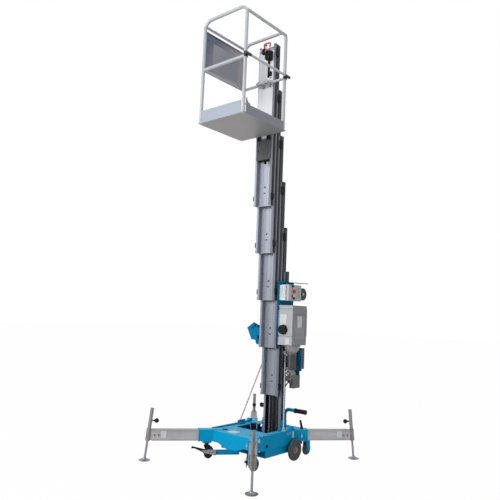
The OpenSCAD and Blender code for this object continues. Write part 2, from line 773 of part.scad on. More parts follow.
module outrigger_beam(c) {
  color(alloy) at_corner(c) difference() {
    union() {
      translate([beam_in, 0, beam_z]) rotate([90, 0, 90]) linear_extrude(height = leg_reach - 36 - beam_in) {
        difference() {
          union() {
            translate([-beam_w / 2, 0]) square([beam_w, 11]);
            translate([-beam_w / 2 + 3, 0]) square([beam_w - 6, beam_h]);
            translate([-beam_w / 2, beam_h - 11]) square([beam_w, 11]);
          }
          translate([-beam_w / 2 + 7, 5]) square([beam_w - 14, beam_h - 10]);
        }
      }
      translate([leg_reach - 42, -beam_w / 2 + 4, beam_z + 2]) cube([14, beam_w - 8, beam_h - 4]);
      leg_axis() {
        translate([0, 0, 196]) cylinder(h = 118, d = leg_tube_d + 12);
        translate([0, 0, 190]) cylinder(h = 322, d = leg_tube_d);
        translate([0, 0, 512]) cylinder(h = 5, d = leg_tube_d + 2);
      }
      block([leg_r(255) - 34, -19, beam_z + 4], [leg_r(255), 19, beam_z + beam_h - 4]);
      for (x = [leg_reach - 92, leg_reach - 52]) for (s = [-1, 1]) cyl_y(13, s * (beam_w / 2 - 2) - 4, s * (beam_w / 2 - 2) + 4, x, beam_z + 50);
      // boss of the clamp knob
      block([leg_r(390) - 30, -8, 382], [leg_r(390), 8, 398]);
    }
    leg_axis() translate([0, 0, 180]) cylinder(h = 326, d = leg_rod_d + 2 * run_clear);
    cyl_x(10 + 2 * run_clear, leg_r(390) - 31, leg_r(390) - leg_tube_d / 2 + 1, 0, 390);
  }
}

// Leg rod with its dished foot pad
module leg(c) {
  color(steel) at_corner(c) {
    leg_axis() translate([0, 0, 16]) cylinder(h = 364, d = leg_rod_d);
    translate([leg_r(0), 0, 0]) rotate_extrude() polygon([
      [0, 0], [foot_d / 2 - 4, 0], [foot_d / 2, 4], [foot_d / 2, 8], [foot_d / 2 - 8, 8],
      [foot_d / 2 - 22, 11], [20, 18], [16, 30], [0, 32]
    ]);
  }
}

// Ball knob that clamps the leg
module leg_knob(c) {
  color(black) at_corner(c) {
    cyl_x(10, leg_r(390) - 44, leg_r(390) - leg_tube_d / 2 - 1, 0, 390);
    translate([leg_r(390) - 40 - knob_d / 2, 0, 390]) sphere(d = knob_d);
    cyl_x(18, leg_r(390) - 44, leg_r(390) - 33, 0, 390);
  }
}

// Pull pin that locks a beam in its socket
module lock_pin(c) {
  y0 = -sock_w / 2;
  color(steel) at_corner(c) {
    cyl_y(12, y0 - 26, -beam_w / 2 - beam_clear - 1, 505, beam_mid);
    cyl_y(20, y0 - 26, y0 - 10.5, 505, beam_mid);
    translate([505, y0 - 18.5, beam_mid - 26]) cylinder(h = 52, d = 8);
  }
}

// Wheels

// Wheel about Z at the origin, with a stepped hub and a rounded tyre
module wheel_body(d, w, bore) {
  rotate_extrude() {
    polygon([
      [bore / 2, -w / 2 + 2], [bore / 2, w / 2 - 2], [d * 0.13, w / 2 - 2], [d * 0.15, w / 2 - 6],
      [d * 0.30, w / 2 - 6], [d * 0.34, w / 2 - 1], [d / 2 - 9, w / 2], [d / 2 - 3, w / 2 - 4], [d / 2, w / 2 - 10],
      [d / 2, -w / 2 + 10], [d / 2 - 3, -w / 2 + 4], [d / 2 - 9, -w / 2], [d * 0.34, -w / 2 + 1],
      [d * 0.30, -w / 2 + 6], [d * 0.15, -w / 2 + 6], [d * 0.13, -w / 2 + 2]
    ]);
  }
}

module side_wheel(s) {
  color(grey) side(s) translate([side_wheel_x, side_wheel_y, side_wheel_z]) rotate([0, 90, 0]) {
    wheel_body(side_wheel_d, wheel_w, 20 + 2 * run_clear);
    difference() {
      translate([0, 0, wheel_w / 2 - 2]) cylinder(h = 14, d = 40);
      translate([0, 0, wheel_w / 2 - 3]) cylinder(h = 10, d = 20 + 2 * run_clear);
    }
  }
}

module rear_wheel(s) {
  color(black) side(s) translate([rear_wheel_x, rear_wheel_y, caster_z + 5]) rotate([0, 90, 0])
    wheel_body(caster_d, wheel_w, 12 + 2 * run_clear);
}

module caster_wheel(s) {
  color(black) side(s) translate([caster_x, caster_y, caster_z]) rotate([0, 90, 0])
    wheel_body(caster_d, wheel_w, 12 + 2 * run_clear);
}

// Swivel fork: top plate and stem on the swivel axis, arms out to the wheel axle
module caster_fork(s) {
  top = 176 - run_clear;
  color(black) side(s) {
    translate([caster_x, swivel_y, top - 6]) cylinder(h = 6, d = 74);
    translate([caster_x, swivel_y, top - 26]) cylinder(h = 20, d = 40);
    translate([caster_x, swivel_y, top]) cylinder(h = 14, d = 16);
    for (w = [-1, 1]) {
      x0 = caster_x + w * (wheel_w / 2 + 4);
      translate([x0 - 2, 0, 0]) rotate([90, 0, 90]) linear_extrude(height = 4)
        polygon([[swivel_y - 20, top - 24], [swivel_y - 20, top - 32], [caster_y - 14, caster_z - 8],
                 [caster_y + 14, caster_z - 8], [caster_y + 16, caster_z + 20], [swivel_y + 28, top - 24]]);
      cyl_x(22, x0 - 2 + (w > 0 ? 4 : -5), x0 + 2 + (w > 0 ? 5 : -4), caster_y, caster_z);
    }
    block([caster_x - 22, swivel_y - 20, top - 28], [caster_x + 22, swivel_y + 28, top - 24]);
    cyl_x(12, caster_x - 24, caster_x + 24, caster_y, caster_z);
  }
}

// Foot lever of the caster brake, hung on the outer end of the diagonal arm
module brake_pedal(s) {
  color(black) side(s) rotate([0, 0, -diag]) {
    cyl_y(10, -66, -38, 462, 88);
    translate([462, -54, 88]) rotate([90, 0, 0]) cylinder(h = 8, d = 34);
    translate([0, -54, 0]) rotate([90, 0, 0]) linear_extrude(height = 8)
      polygon([[452, 74], [448, 100], [520, 122], [640, 150], [644, 142], [540, 96], [500, 66], [478, 44], [462, 44]]);
    block([600, -76, 132], [646, -50, 140]);
  }
}

base_frame();
base_column();
base_keel();
brace_rods();
mast_brackets();
control_box();
charger_box();
charger_knob();
emergency_stop();
mode_key();
power_unit();
lift_cylinder();
push_handle();
handle_grips();
socket_lever();
color(alloy) mast_column(2);  // mast_column_2
color(alloy) mast_column(3);  // mast_column_3
color(alloy) mast_column(4);  // mast_column_4
color(alloy) mast_column(5);  // mast_column_5
color(alloy) mast_column(6);  // mast_column_6
color(black) column_caps(2);  // column_caps_2
color(black) column_caps(3);  // column_caps_3
color(black) column_caps(4);  // column_caps_4
color(black) column_caps(5);  // column_caps_5
color(black) column_caps(6);  // column_caps_6
carriage();
carriage_fittings();
platform_floor();
guard_rails();
rail_clamps();
side_panel();
platform_controls();
control_lever();
entry_rail();
outrigger_beam(corners[0]);  // outrigger_beam_fl
outrigger_beam(corners[1]);  // outrigger_beam_fr
outrigger_beam(corners[2]);  // outrigger_beam_rl
outrigger_beam(corners[3]);  // outrigger_beam_rr
leg(corners[0]);  // leg_fl
leg(corners[1]);  // leg_fr
leg(corners[2]);  // leg_rl
leg(corners[3]);  // leg_rr
leg_knob(corners[0]);  // leg_knob_fl
leg_knob(corners[1]);  // leg_knob_fr
leg_knob(corners[2]);  // leg_knob_rl
leg_knob(corners[3]);  // leg_knob_rr
lock_pin(corners[0]);  // lock_pin_fl
lock_pin(corners[1]);  // lock_pin_fr
lock_pin(corners[2]);  // lock_pin_rl
lock_pin(corners[3]);  // lock_pin_rr
caster_fork(-1);  // caster_fork_left
caster_fork(1);  // caster_fork_right
caster_wheel(-1);  // caster_wheel_left
caster_wheel(1);  // caster_wheel_right
side_wheel(-1);  // side_wheel_left
side_wheel(1);  // side_wheel_right
rear_wheel(-1);  // rear_wheel_left
rear_wheel(1);  // rear_wheel_right
brake_pedal(-1);  // brake_pedal_left
brake_pedal(1);  // brake_pedal_right
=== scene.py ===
"""Looks of the push-around aerial work platform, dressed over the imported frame."""

from math import atan2, cos, pi, radians, sin

import bmesh
import bpy
from mathutils import Matrix, Vector


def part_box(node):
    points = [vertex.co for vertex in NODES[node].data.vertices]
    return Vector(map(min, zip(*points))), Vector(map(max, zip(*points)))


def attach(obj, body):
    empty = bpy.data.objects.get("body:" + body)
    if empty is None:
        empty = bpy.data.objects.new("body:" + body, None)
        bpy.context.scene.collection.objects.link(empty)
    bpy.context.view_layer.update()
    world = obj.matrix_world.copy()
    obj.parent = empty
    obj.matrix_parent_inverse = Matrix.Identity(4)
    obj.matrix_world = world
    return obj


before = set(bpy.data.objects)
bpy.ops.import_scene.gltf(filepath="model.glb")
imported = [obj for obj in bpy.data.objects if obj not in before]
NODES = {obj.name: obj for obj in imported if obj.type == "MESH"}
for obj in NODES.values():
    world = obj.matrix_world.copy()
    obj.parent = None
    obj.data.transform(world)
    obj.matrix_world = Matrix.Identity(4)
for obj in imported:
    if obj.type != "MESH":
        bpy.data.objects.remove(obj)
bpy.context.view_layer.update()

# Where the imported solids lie, in metres
COLUMN_FRONT = 0.300  # front face of the fixed column
COLUMN_PITCH = 0.0605  # from one column's front to the next one's
COLUMN_RISE = 0.514  # from one column's foot to the next one's
COLUMN_SIDE = 0.116  # side faces of every column
COLUMNS = range(2, 7)  # numbers of the moving columns
BEAM_MID = 0.252  # height of the outrigger beams' middle
BEAM_SIDE = 0.037  # side faces of a beam, from its middle
SIDE_PLATE = 0.310  # outer faces of the base's side plates
DECK_TOP = 0.304  # upper face of the base
CHARGER_SIDE = 0.3166  # right face of the charger box
CONTROL_SIDE = 0.2458  # right face of the control box
LEFT_BRACKET = 0.3235  # front of the left mast bracket
PUMP_AXIS = (0.213, 0.345)  # upright axis of the pump, its motor and its tank
TANK_FOOT, MOTOR_FOOT, PUMP_FOOT = 1.0895, 0.9215, 0.8615
PEDAL_SIDE = 0.0623  # outer face of a brake pedal, from its beam's middle
PANEL_INNER = -0.2930  # inner face of the side panel
TOE_SIDE = 0.314  # outer faces of the toe boards
TOE_FRONT = -0.7244
CORNERS = {"fl": (-1, -1), "fr": (1, -1), "rl": (-1, 1), "rr": (1, 1)}
DIAGONAL = atan2(772, 636)  # the outriggers' angle to the X axis

BLUE = (0.0, 0.34, 0.62)
WHITE = (1.0, 1.0, 1.0)


# Shader maths


class Value:
    """One output of a node, so that finishes can be written as sums and products."""

    def __init__(self, finish, socket):
        self.finish = finish
        self.socket = socket

    def _math(self, operation, a, b=0.0):
        return self.finish.node("ShaderNodeMath", {"operation": operation}, {0: a, 1: b})

    def __add__(self, other):
        return self._math("ADD", self, other)

    def __radd__(self, other):
        return self._math("ADD", other, self)

    def __sub__(self, other):
        return self._math("SUBTRACT", self, other)

    def __rsub__(self, other):
        return self._math("SUBTRACT", other, self)

    def __mul__(self, other):
        return self._math("MULTIPLY", self, other)

    def __gt__(self, other):
        return self._math("GREATER_THAN", self, other)

    def __lt__(self, other):
        return self._math("LESS_THAN", self, other)

    def absolute(self):
        return self._math("ABSOLUTE", self)

    def wrapped(self, size):
        return self._math("FLOORED_MODULO", self, size)

    def root(self):
        return self._math("SQRT", self)

    def atop(self, other):
        return self._math("MAXIMUM", self, other)

    def between(self, low, high):
        return (self > low) * (self < high)

    def away_from(self, place):
        return (self - place).absolute()


def distance(across, up):
    return (across * across + up * up).root()


def scaled(colour, share):
    return tuple(c * share for c in colour)


class Finish:
    """A material, or the world's surface, in the making."""

    def __init__(self, name, owner=None):
        self.owner = owner or bpy.data.materials.new(name)
        self.owner.use_nodes = True
        self.tree = self.owner.node_tree
        self.tree.nodes.clear()
        self.place = None

    def node(self, kind, settings=None, inputs=None, out=0):
        made = self.tree.nodes.new(kind)
        for key, value in (settings or {}).items():
            setattr(made, key, value)
        for key, value in (inputs or {}).items():
            if isinstance(value, Value):
                self.tree.links.new(value.socket, made.inputs[key])
            else:
                made.inputs[key].default_value = value
        return Value(self, made.outputs[out])

    def where(self):
        if self.place is None:
            self.place = self.node("ShaderNodeTexCoord", out="Object")
        return self.place

    def xyz(self, place=None):
        split = self.node("ShaderNodeSeparateXYZ", None, {0: place or self.where()})
        outputs = split.socket.node.outputs
        return [Value(self, outputs[i]) for i in range(3)]

    def facing(self):
        """The three parts of the surface's own direction, in the piece's frame."""
        return self.xyz(self.node("ShaderNodeTexCoord", out="Normal"))

    def stretch(self, scales, place=None):
        settings = {"operation": "MULTIPLY"}
        return self.node("ShaderNodeVectorMath", settings, {0: place or self.where(), 1: scales})

    def turned(self, angle):
        settings = {"rotation_type": "Z_AXIS"}
        inputs = {"Vector": self.where(), "Angle": angle}
        return self.node("ShaderNodeVectorRotate", settings, inputs)

    def noise(self, scale, place=None, detail=3.0, rough=0.55):
        place = place or self.where()
        inputs = {"Vector": place, "Scale": scale, "Detail": detail, "Roughness": rough}
        return self.node("ShaderNodeTexNoise", None, inputs)

    def ramp(self, value, low, high):
        """Goes from nought at low to one at high, and stays there."""
        inputs = {"Value": value, "From Min": low, "From Max": high, "To Min": 0.0, "To Max": 1.0}
        return self.node("ShaderNodeMapRange", {"clamp": True}, inputs)

    def toward(self, part):
        """One on the faces whose direction is mostly this part of it."""
        return self.ramp(part, 0.6, 0.8)

    def tint(self, amount, a, b):
        """Colour a, mixed with colour b by the amount."""

        def full(c):
            return c if isinstance(c, Value) else (*c, 1.0)

        inputs = {0: amount, 6: full(a), 7: full(b)}
        return self.node("ShaderNodeMix", {"data_type": "RGBA"}, inputs, out=2)

    def bump(self, height, depth, strength=1.0):
        inputs = {"Height": height, "Distance": depth, "Strength": strength}
        return self.node("ShaderNodeBump", None, inputs)

    def end(self, shader, kind="ShaderNodeOutputMaterial"):
        out = self.tree.nodes.new(kind)
        self.tree.links.new(shader.socket, out.inputs["Surface"])
        return self.owner

    def close(self, **sockets):
        """Ends the material with a Principled shader that takes the named sockets."""
        inputs = {}
        for key, value in sockets.items():
            name = key.replace("_", " ").title().replace("Ior", "IOR")
            is_colour = isinstance(value, tuple) and len(value) == 3
            inputs[name] = (*value, 1.0) if is_colour else value
        return self.end(self.node("ShaderNodeBsdfPrincipled", None, inputs))


# Finishes


def blue_paint(name, colour, dust=0.2, top_sheen=0.42):
    """Gloss paint with road dust low down and a painted sheen that lightens the faces that look
    up.
    """
    f = Finish(name)
    z = f.xyz()[2]
    up = f.facing()[2]
    cloud = f.noise(3.0, detail=4.0)
    fine = f.noise(420.0, detail=2.0)
    scuff = f.noise(26.0, f.stretch((1.0, 1.0, 5.0)), detail=6.0, rough=0.7)
    scuff = f.ramp(scuff, 0.68, 0.76)
    low = f.ramp(0.30 - z, 0.0, 0.28) * dust * f.ramp(f.noise(14.0), 0.3, 0.7)
    lighter = tuple(min(1.0, c * 1.06) for c in colour)
    paint = f.tint(cloud, scaled(colour, 0.92), lighter)
    paint = f.tint(low, paint, (0.06, 0.20, 0.28))
    # painted sheen: faces that look up are mixed towards a paler blue, standing in for the light
    # they catch
    paint = f.tint(f.ramp(up, 0.85, 0.95) * top_sheen, paint, (0.17, 0.62, 0.86))
    paint = f.tint(scuff * 0.12, paint, (0.03, 0.46, 0.68))
    peel = f.noise(160.0, detail=1.0) * 0.7 + fine * 0.3
    return f.close(
        base_color=paint,
        roughness=0.42 + cloud * 0.08 + scuff * 0.15 + low * 0.3,
        normal=f.bump(peel, 0.0004, 0.25),
        specular_ior_level=0.06,
    )


class Brushed:
    """Fine lines along an extrusion, broader bands between them, and smears from handling."""

    def __init__(self, f, angle=None):
        if angle is None:
            lines = f.stretch((260.0, 260.0, 1.2))
            broad = f.stretch((22.0, 22.0, 0.5))
        else:
            along = f.turned(angle)
            lines = f.stretch((1.5, 260.0, 260.0), along)
            broad = f.stretch((0.8, 22.0, 22.0), along)
        self.f = f
        self.line = f.noise(1.0, lines, detail=3.0)
        self.band = f.noise(1.0, broad, detail=2.0)
        self.smear = f.ramp(f.noise(5.0, detail=5.0), 0.45, 0.8)

    def colour(self, dark, light, handled, share):
        """Lines and bands between dark and light, with smears of the handled colour."""
        mixed = self.f.ramp(self.line * 0.45 + self.band * 0.55, 0.3, 0.7)
        return self.f.tint(self.smear * share, self.f.tint(mixed, dark, light), handled)

    def close(self, colour, metallic, rough=0.42, **more):
        return self.f.close(
            base_color=colour,
            metallic=metallic,
            roughness=self.f.ramp(self.line, 0.2, 0.8) * 0.14 + self.smear * 0.08 + rough,
            normal=self.f.bump(self.line, 0.0005, 0.3),
            **more,
        )


def rail_alloy(name):
    """Anodised tube of the guard rails."""
    brushed = Brushed(Finish(name))
    dark = (0.42, 0.435, 0.47)
    colour = brushed.colour(dark, (0.55, 0.565, 0.60), scaled(dark, 0.72), 0.18)
    return brushed.close(colour, 0.25, 0.36)


def mast_alloy(name, top, foot=False):
    """Anodised column: pale front with painted shade in its channel and towards the bottom, flanks
    painted darker as shade, and near-black running strips down both flanks.
    """
    f = Finish(name)
    x, y, z = f.xyz()
    nx, ny = f.facing()[:2]
    brushed = Brushed(f)
    front = f.toward(0.0 - ny)
    colour = brushed.colour((0.37, 0.405, 0.47), (0.50, 0.53, 0.60), (0.25, 0.26, 0.29), 0.2)
    # painted shade: the left part of the channel's web is darkened where the left wall would shade
    # it
    channel_shade = (1.0 - f.ramp(x, -0.060, 0.005)) * f.ramp(x, -0.104, -0.092)
    colour = f.tint(channel_shade * front * 0.4, colour, (0.15, 0.165, 0.20))
    colour = f.tint(f.ramp(x, 0.064, 0.080) * front * 0.8, colour, (0.13, 0.14, 0.16))
    # painted shade: the front gets darker towards the bottom of the mast
    lower = (1.0 - f.ramp(z, 1.2, 2.9)) * 0.55
    colour = f.tint(lower * front, colour, (0.14, 0.145, 0.165))
    depth = (y - COLUMN_FRONT).wrapped(COLUMN_PITCH)
    strip = f.ramp(depth, 0.0125, 0.0145) * (1.0 - f.ramp(depth, 0.0400, 0.0420) * 0.35)
    flank = f.ramp(x * nx, 0.070, 0.085)
    strip_mottle = 0.90 + f.noise(9.0, f.stretch((1.0, 1.0, 0.25)), detail=3.0) * 0.10
    dark = flank * strip * strip_mottle
    # painted shade: the flanks are coloured darker than the front
    colour = f.tint(flank, colour, (0.27, 0.285, 0.32))
    colour = f.tint(dark, colour, (0.006, 0.006, 0.007))
    end_part = z > top - 0.009
    colour = f.tint(end_part, colour, (0.010, 0.010, 0.011))
    dark = dark.atop(end_part)
    if foot:
        # painted shade: the inside of the fixed column's channel is coloured near-black
        inside = y.between(0.3035, 0.349) * (x.absolute() < 0.1025)
        colour = f.tint(inside, colour, (0.008, 0.008, 0.009))
        dark = dark.atop(inside)
    return brushed.close(colour, 0.4 - dark * 0.4, specular_ior_level=0.2)


def beam_alloy(name, angle):
    """Outrigger beam of brushed alloy, with a darker steel leg tube on its end whose outward faces
    carry painted shade.
    """
    f = Finish(name)
    x, y, z = f.xyz()
    nx, ny = f.facing()[:2]
    brushed = Brushed(f, angle)
    tube = f.ramp(distance(x, y), 1.052, 1.056).atop(f.ramp(z, 0.312, 0.314))
    colour = brushed.colour((0.37, 0.36, 0.37), (0.49, 0.48, 0.49), (0.20, 0.195, 0.19), 0.25)
    edge = f.ramp(z.away_from(BEAM_MID), 0.040, 0.052)
    colour = f.tint(edge * 0.35, colour, (0.16, 0.155, 0.16))
    worn = f.ramp(f.noise(30.0, detail=5.0), 0.4, 0.7)
    colour = f.tint(tube, colour, f.tint(worn, (0.22, 0.212, 0.206), (0.33, 0.32, 0.31)))
    # painted shade: the leg tube's faces that point away from the machine are darkened
    outer = f.ramp(x * nx + y * ny, 0.75, 0.95)
    colour = f.tint(tube * outer * 0.62, colour, (0.075, 0.072, 0.072))
    return brushed.close(colour, 0.5, 0.40)


def cast_steel(name, light, dark, metallic=0.85, rough=0.3):
    """Plated steel with a faint spangle and dull marks."""
    f = Finish(name)
    inputs = {"Vector": f.where(), "Scale": 90.0}
    spangle = f.node("ShaderNodeTexVoronoi", None, inputs, out="Color")
    grain = f.noise(240.0, detail=3.0)
    mark = f.ramp(f.noise(18.0, detail=5.0), 0.5, 0.75)
    colour = f.tint(f.ramp(grain, 0.3, 0.7), dark, light)
    colour = f.tint(0.05, colour, spangle)
    colour = f.tint(mark * 0.25, colour, scaled(dark, 0.6))
    return f.close(
        base_color=colour,
        metallic=metallic,
        roughness=grain * 0.12 + mark * 0.15 + rough,
        normal=f.bump(grain, 0.0004, 0.2),
    )


def moulded_black(name, colour=(0.008, 0.008, 0.009), rough=0.5):
    """Dark moulding, paler where it is worn."""
    f = Finish(name)
    grain = f.noise(600.0, detail=2.0)
    wear = f.ramp(f.noise(30.0, detail=5.0), 0.55, 0.8)
    worn = tuple(c * 2.0 + 0.008 for c in colour)
    return f.close(
        base_color=f.tint(wear * 0.5, colour, worn),
        roughness=rough + wear * 0.12,
        normal=f.bump(grain, 0.0006, 0.35),
        specular_ior_level=0.14,
    )


def tyre_rubber(name, centre, hub_at, hub_colour, tread, tone=1.0):
    """Grey tyre with a paler dusty tread and a plastic hub inside hub_at metres of the axle."""
    f = Finish(name)
    y, z = f.xyz()[1:]
    away = distance(y - centre[1], z - centre[2])
    hub = away < hub_at
    ring = f.ramp(away.away_from(hub_at), 0.0015, 0.0)
    grain = f.noise(300.0, detail=3.0)
    dust = f.ramp(f.noise(22.0, detail=5.0), 0.35, 0.75)
    dull, dusty = scaled((0.075, 0.072, 0.07), tone), scaled((0.135, 0.13, 0.12), tone)
    rubber = f.tint(dust * 0.5, dull, dusty)
    rubber = f.tint((away > tread) * 0.45, rubber, scaled((0.12, 0.11, 0.10), tone))
    colour = f.tint(hub, rubber, hub_colour)
    colour = f.tint(ring * 0.7, colour, (0.02, 0.02, 0.02))
    return f.close(
        base_color=colour,
        roughness=0.72 - hub * 0.22,
        normal=f.bump(grain, 0.0005, 0.4),
        specular_ior_level=0.25,
    )


def grey_housing(name, colour):
    """Textured painted housing of the charger, its side painted darker as shade, with a rimmed
    window on its side and lid seams.
    """
    f = Finish(name)
    y, z = f.xyz()[1:]
    nx, ny = f.facing()[:2]

    def window(grown):
        return y.between(0.241 - grown, 0.423 + grown) * z.between(1.248 - grown, 1.512 + grown)

    def seam(height):
        return z.away_from(height) < 0.0016

    grain = f.noise(500.0, detail=3.0)
    cloud = f.noise(6.0, detail=4.0)
    base = f.tint(cloud, scaled(colour, 0.92), scaled(colour, 1.08))
    side = f.toward(nx)
    # painted shade: the side face is mixed towards dark grey
    base = f.tint(side * 0.5, base, (0.13, 0.13, 0.14))
    inset = side * window(0.005)
    base = f.tint(inset * 0.35, base, (0.46, 0.46, 0.48))
    base = f.tint(inset * (1.0 - window(0.0)) * 0.8, base, (0.05, 0.05, 0.055))
    seams = seam(1.570).atop(seam(1.281)) * f.toward(0.0 - ny)
    base = f.tint(seams * 0.85, base, (0.03, 0.03, 0.035))
    return f.close(
        base_color=base,
        roughness=0.46 + cloud * 0.1,
        normal=f.bump(grain, 0.0005, 0.3),
        specular_ior_level=0.3,
    )


def control_housing(name):
    """Grey control box with a whiter label place on its front and a black horn behind."""
    f = Finish(name)
    x, y, z = f.xyz()
    grain = f.noise(500.0, detail=3.0)
    cloud = f.noise(6.0, detail=4.0)
    base = f.tint(cloud, (0.50, 0.505, 0.525), (0.57, 0.575, 0.595))
    label = f.tint(cloud, (0.74, 0.75, 0.77), (0.82, 0.83, 0.85))
    base = f.tint(y < 0.2149, base, label)
    base = f.tint(y.between(0.2165, 0.2179), base, (0.05, 0.05, 0.05))
    plate = (x > 0.2462) * (y < 0.449)
    base = f.tint(plate, base, (0.40, 0.405, 0.43))
    base = f.tint((x > 0.2482) * (y < 0.31), base, (0.02, 0.02, 0.02))
    horn = y > 0.4492
    base = f.tint(horn, base, (0.014, 0.014, 0.015))
    brass = horn * (x > 0.2032) * (distance(y - 0.54, z - 1.743) < 0.0173)
    base = f.tint(brass, base, (0.50, 0.30, 0.10))
    return f.close(
        base_color=base,
        metallic=brass * 0.8,
        roughness=0.44 + cloud * 0.1,
        normal=f.bump(grain, 0.0005, 0.3),
    )


def power_unit_finish(name):
    """Grey round tank and pump block, dark motor and hoses, black box and a blue bracket plate in
    a darker blue that is painted shade.
    """
    f = Finish(name)
    x, y, z = f.xyz()
    ny = f.facing()[1]
    grain = f.noise(260.0, detail=3.0)
    grime = f.ramp(f.noise(16.0, detail=5.0), 0.4, 0.75)
    away = distance(x - PUMP_AXIS[0], y - PUMP_AXIS[1])
    tank = (z > TANK_FOOT) * (y < 0.4355)
    motor = z.between(MOTOR_FOOT, TANK_FOOT) * (away < 0.0575)
    pump = z.between(PUMP_FOOT, MOTOR_FOOT) * (y < 0.4355)
    plate = y.between(0.4358, 0.4421) * (z > 0.862) * (ny.absolute() > 0.5)
    plate = plate.atop((x > 0.2545) * y.between(0.4358, 0.4425) * (z > 0.9))
    base = f.tint(grime, (0.075, 0.072, 0.07), (0.13, 0.122, 0.115))
    base = f.tint(motor, base, f.tint(grime, (0.030, 0.030, 0.032), (0.065, 0.062, 0.06)))
    base = f.tint(pump, base, f.tint(grime, (0.18, 0.175, 0.17), (0.27, 0.262, 0.255)))
    base = f.tint(y > 0.4425, base, f.tint(grime, (0.028, 0.028, 0.03), (0.06, 0.058, 0.055)))
    # painted shade: the bracket plate gets a darker copy of the base blue
    base = f.tint(plate, base, (0.0, 0.17, 0.36))
    base = f.tint(tank, base, f.tint(grime, (0.27, 0.255, 0.25), (0.36, 0.345, 0.335)))
    hose = (y < 0.3085) * z.between(0.868, 0.945) * (away > 0.058)
    base = f.tint(hose, base, (0.012, 0.012, 0.013))
    return f.close(
        base_color=base,
        metallic=tank.atop(pump) * 0.35 * (1.0 - hose),
        roughness=0.36 + grime * 0.2,
        normal=f.bump(grain, 0.0006, 0.3),
    )


def red_plastic(name):
    f = Finish(name)
    cloud = f.noise(60.0, detail=3.0)
    colour = f.tint(cloud, (0.52, 0.020, 0.012), (0.64, 0.035, 0.020))
    return f.close(base_color=colour, roughness=0.32 + cloud * 0.1)


def plain_plate(name, colour, metallic=0.0, rough=0.4):
    """Bare label place: a smooth plate with a faintly worn face."""
    f = Finish(name)
    wear = f.ramp(f.noise(40.0, detail=5.0), 0.45, 0.75)
    base = f.tint(wear * 0.3, colour, scaled(colour, 0.8))
    return f.close(base_color=base, metallic=metallic, roughness=rough + wear * 0.15)


def carriage_alloy(name):
    """White-anodised carriage with painted shade on its sides; below the deck it is darker, partly
    its own tone and partly painted shadow of the deck.
    """
    f = Finish(name)
    nx = f.facing()[0]
    brushed = Brushed(f)
    colour = brushed.colour((0.68, 0.69, 0.72), (0.80, 0.81, 0.84), (0.36, 0.37, 0.40), 0.15)
    # below the deck: a darker tone, partly the carriage's own and partly painted shadow of the
    # deck
    below = 1.0 - f.ramp(f.xyz()[2], 3.43, 3.46)
    own_tone_and_deck_shadow = f.tint(brushed.band, (0.055, 0.056, 0.062), (0.10, 0.102, 0.112))
    colour = f.tint(below, colour, own_tone_and_deck_shadow)
    # painted shade: the side faces are mixed towards a dark blue-grey
    colour = f.tint(f.toward(nx.absolute()) * 0.8, colour, (0.15, 0.165, 0.21))
    return brushed.close(colour, 0.3, specular_ior_level=0.25)


def entry_tube(name):
    """Pale entry bar with black shoes on both posts."""
    f = Finish(name)
    y = f.xyz()[1]
    brushed = Brushed(f, 0.0)
    colour = f.tint(brushed.line, (0.40, 0.41, 0.45), (0.52, 0.54, 0.58))
    shoe = (y.away_from(-0.704) < 0.046).atop(y.away_from(-0.052) < 0.046)
    colour = f.tint(shoe, colour, (0.016, 0.016, 0.018))
    return f.close(
        base_color=colour,
        metallic=(1.0 - shoe) * 0.5,
        roughness=0.36 + brushed.smear * 0.1 + shoe * 0.12,
        normal=f.bump(f.noise(400.0), 0.0004, 0.3),
    )


def panel_sheet(name):
    """Side panel of brushed sheet with a painted reflection: bluish and dark above, brownish and
    bright below.
    """
    f = Finish(name)
    y, z = f.xyz()[1:]
    line = f.noise(1.0, f.stretch((1.0, 3.0, 180.0)), detail=4.0)
    cloud = f.noise(2.2, detail=3.0)
    # painted reflection: a diagonal gradient from dark bluish above to bright brownish below
    reflection_gradient = f.ramp((y + 0.70) * 0.9 - (z - 4.05) * 0.75 + cloud * 0.25, 0.02, 0.46)
    colour = f.tint(reflection_gradient, (0.065, 0.09, 0.15), (0.50, 0.45, 0.43))
    colour = f.tint(f.ramp(line, 0.3, 0.7) * 0.25, colour, (0.40, 0.41, 0.45))
    return f.close(
        base_color=colour,
        metallic=0.35,
        roughness=0.30 + line * 0.14,
        normal=f.bump(line, 0.0005, 0.3),
    )


def deck_sheet(name):
    """Deck: pale toe boards with their sides painted darker as shade, a beige-grey underside and a
    ribbed tread on top.
    """
    f = Finish(name)
    x = f.xyz()[0]
    nx, _, nz = f.facing()
    brush = f.noise(1.0, f.stretch((6.0, 6.0, 300.0)), detail=3.0)
    cloud = f.noise(4.0, detail=4.0)
    base = f.tint(cloud, (0.35, 0.395, 0.46), (0.40, 0.45, 0.52))
    # painted shade: the side faces are mixed towards a dark grey
    base = f.tint(f.toward(nx.absolute()) * 0.75, base, (0.20, 0.205, 0.235))
    underside = f.tint(cloud, (0.31, 0.295, 0.29), (0.38, 0.365, 0.355))
    base = f.tint(f.toward(0.0 - nz), base, underside)
    rib = f.ramp((x.wrapped(0.03) - 0.015).absolute(), 0.004, 0.007)
    top = f.toward(nz)
    base = f.tint(top, base, f.tint(rib, (0.40, 0.41, 0.43), (0.22, 0.23, 0.25)))
    return f.close(
        base_color=base,
        metallic=0.2,
        roughness=0.42 + cloud * 0.12,
        normal=f.bump(brush * 0.15 + rib * top, 0.001, 0.3),
    )


def dress(finish, *nodes):
    for name in nodes:
        piece = NODES[name]
        piece.data.materials.clear()
        piece.data.materials.append(finish)


def at_corners(kind):
    return [kind + corner for corner in CORNERS]


